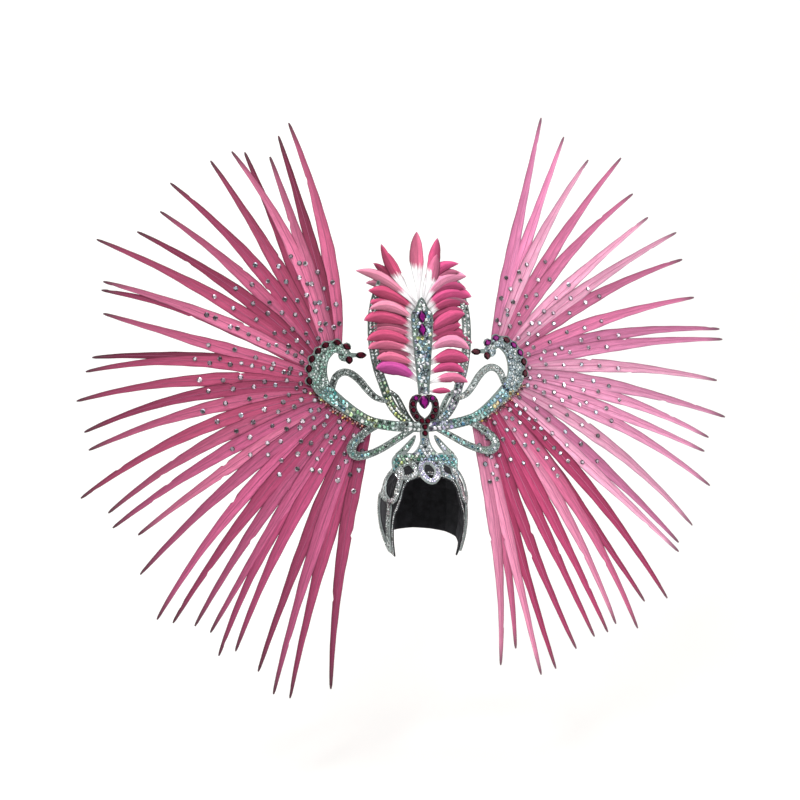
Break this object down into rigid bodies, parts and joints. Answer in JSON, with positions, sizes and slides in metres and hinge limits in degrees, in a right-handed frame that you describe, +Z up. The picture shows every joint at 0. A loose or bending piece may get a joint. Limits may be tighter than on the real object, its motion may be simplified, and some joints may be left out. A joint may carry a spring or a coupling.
{
  "type": "carnival feather headdress",
  "caption": "Carnival headdress worn as a cap: a crystal frame of swans, loops, heart and spire stands on a black cap and carries a feather crest and wide fans of pink tail feathers.",
  "frame": {"origin": "inside of the cap at the crown of the head, where it sits", "axes": "+Z up out of the crown, -Y the way the wearer faces, +X to the right of someone who looks at the wearer"},
  "size_m": [1.3114, 0.2108, 1.1239],
  "materials": {
    "felt": "matte",
    "stoned_band": "gloss",
    "backing": "matte",
    "feathers": "satin",
    "cut_glass": "gloss"
  },
  "bodies": {
    "root": {"cap_base": "felt", "brow_loop": "stoned_band", "scrollwork_left": "stoned_band", "scrollwork_right": "stoned_band", "crest_foot": "stoned_band", "hub_plate": "backing", "heart_frame": "stoned_band", "spire": "stoned_band", "swan_left": "stoned_band", "swan_right": "stoned_band", "bow_loop_left": "stoned_band", "bow_loop_right": "stoned_band", "wing_loop_left": "stoned_band", "wing_loop_right": "stoned_band", "lyre_left": "stoned_band", "lyre_right": "stoned_band", "fan_left": "feathers", "fan_right": "feathers", "crest_feathers_left": "feathers", "crest_feathers_right": "feathers", "heart_stone_01": "cut_glass", "heart_stone_02": "cut_glass", "heart_stone_03": "cut_glass", "heart_stone_04": "cut_glass", "heart_stone_05": "cut_glass", "heart_stone_06": "cut_glass", "heart_stone_07": "cut_glass", "heart_stone_08": "cut_glass", "heart_stone_09": "cut_glass", "heart_stone_10": "cut_glass", "heart_stone_11": "cut_glass", "heart_stone_12": "cut_glass", "heart_pear": "cut_glass", "spire_stone_1": "cut_glass", "spire_stone_2": "cut_glass", "swan_stone_left_1": "cut_glass", "swan_stone_left_2": "cut_glass", "swan_stone_left_3": "cut_glass", "swan_stone_left_4": "cut_glass", "swan_stone_left_5": "cut_glass", "swan_stone_left_6": "cut_glass", "swan_stone_left_7": "cut_glass", "beak_stone_left": "cut_glass", "cheek_stone_left": "cut_glass", "swan_stone_right_1": "cut_glass", "swan_stone_right_2": "cut_glass", "swan_stone_right_3": "cut_glass", "swan_stone_right_4": "cut_glass", "swan_stone_right_5": "cut_glass", "swan_stone_right_6": "cut_glass", "swan_stone_right_7": "cut_glass", "beak_stone_right": "cut_glass", "cheek_stone_right": "cut_glass"}
  },
  "joints": []
}
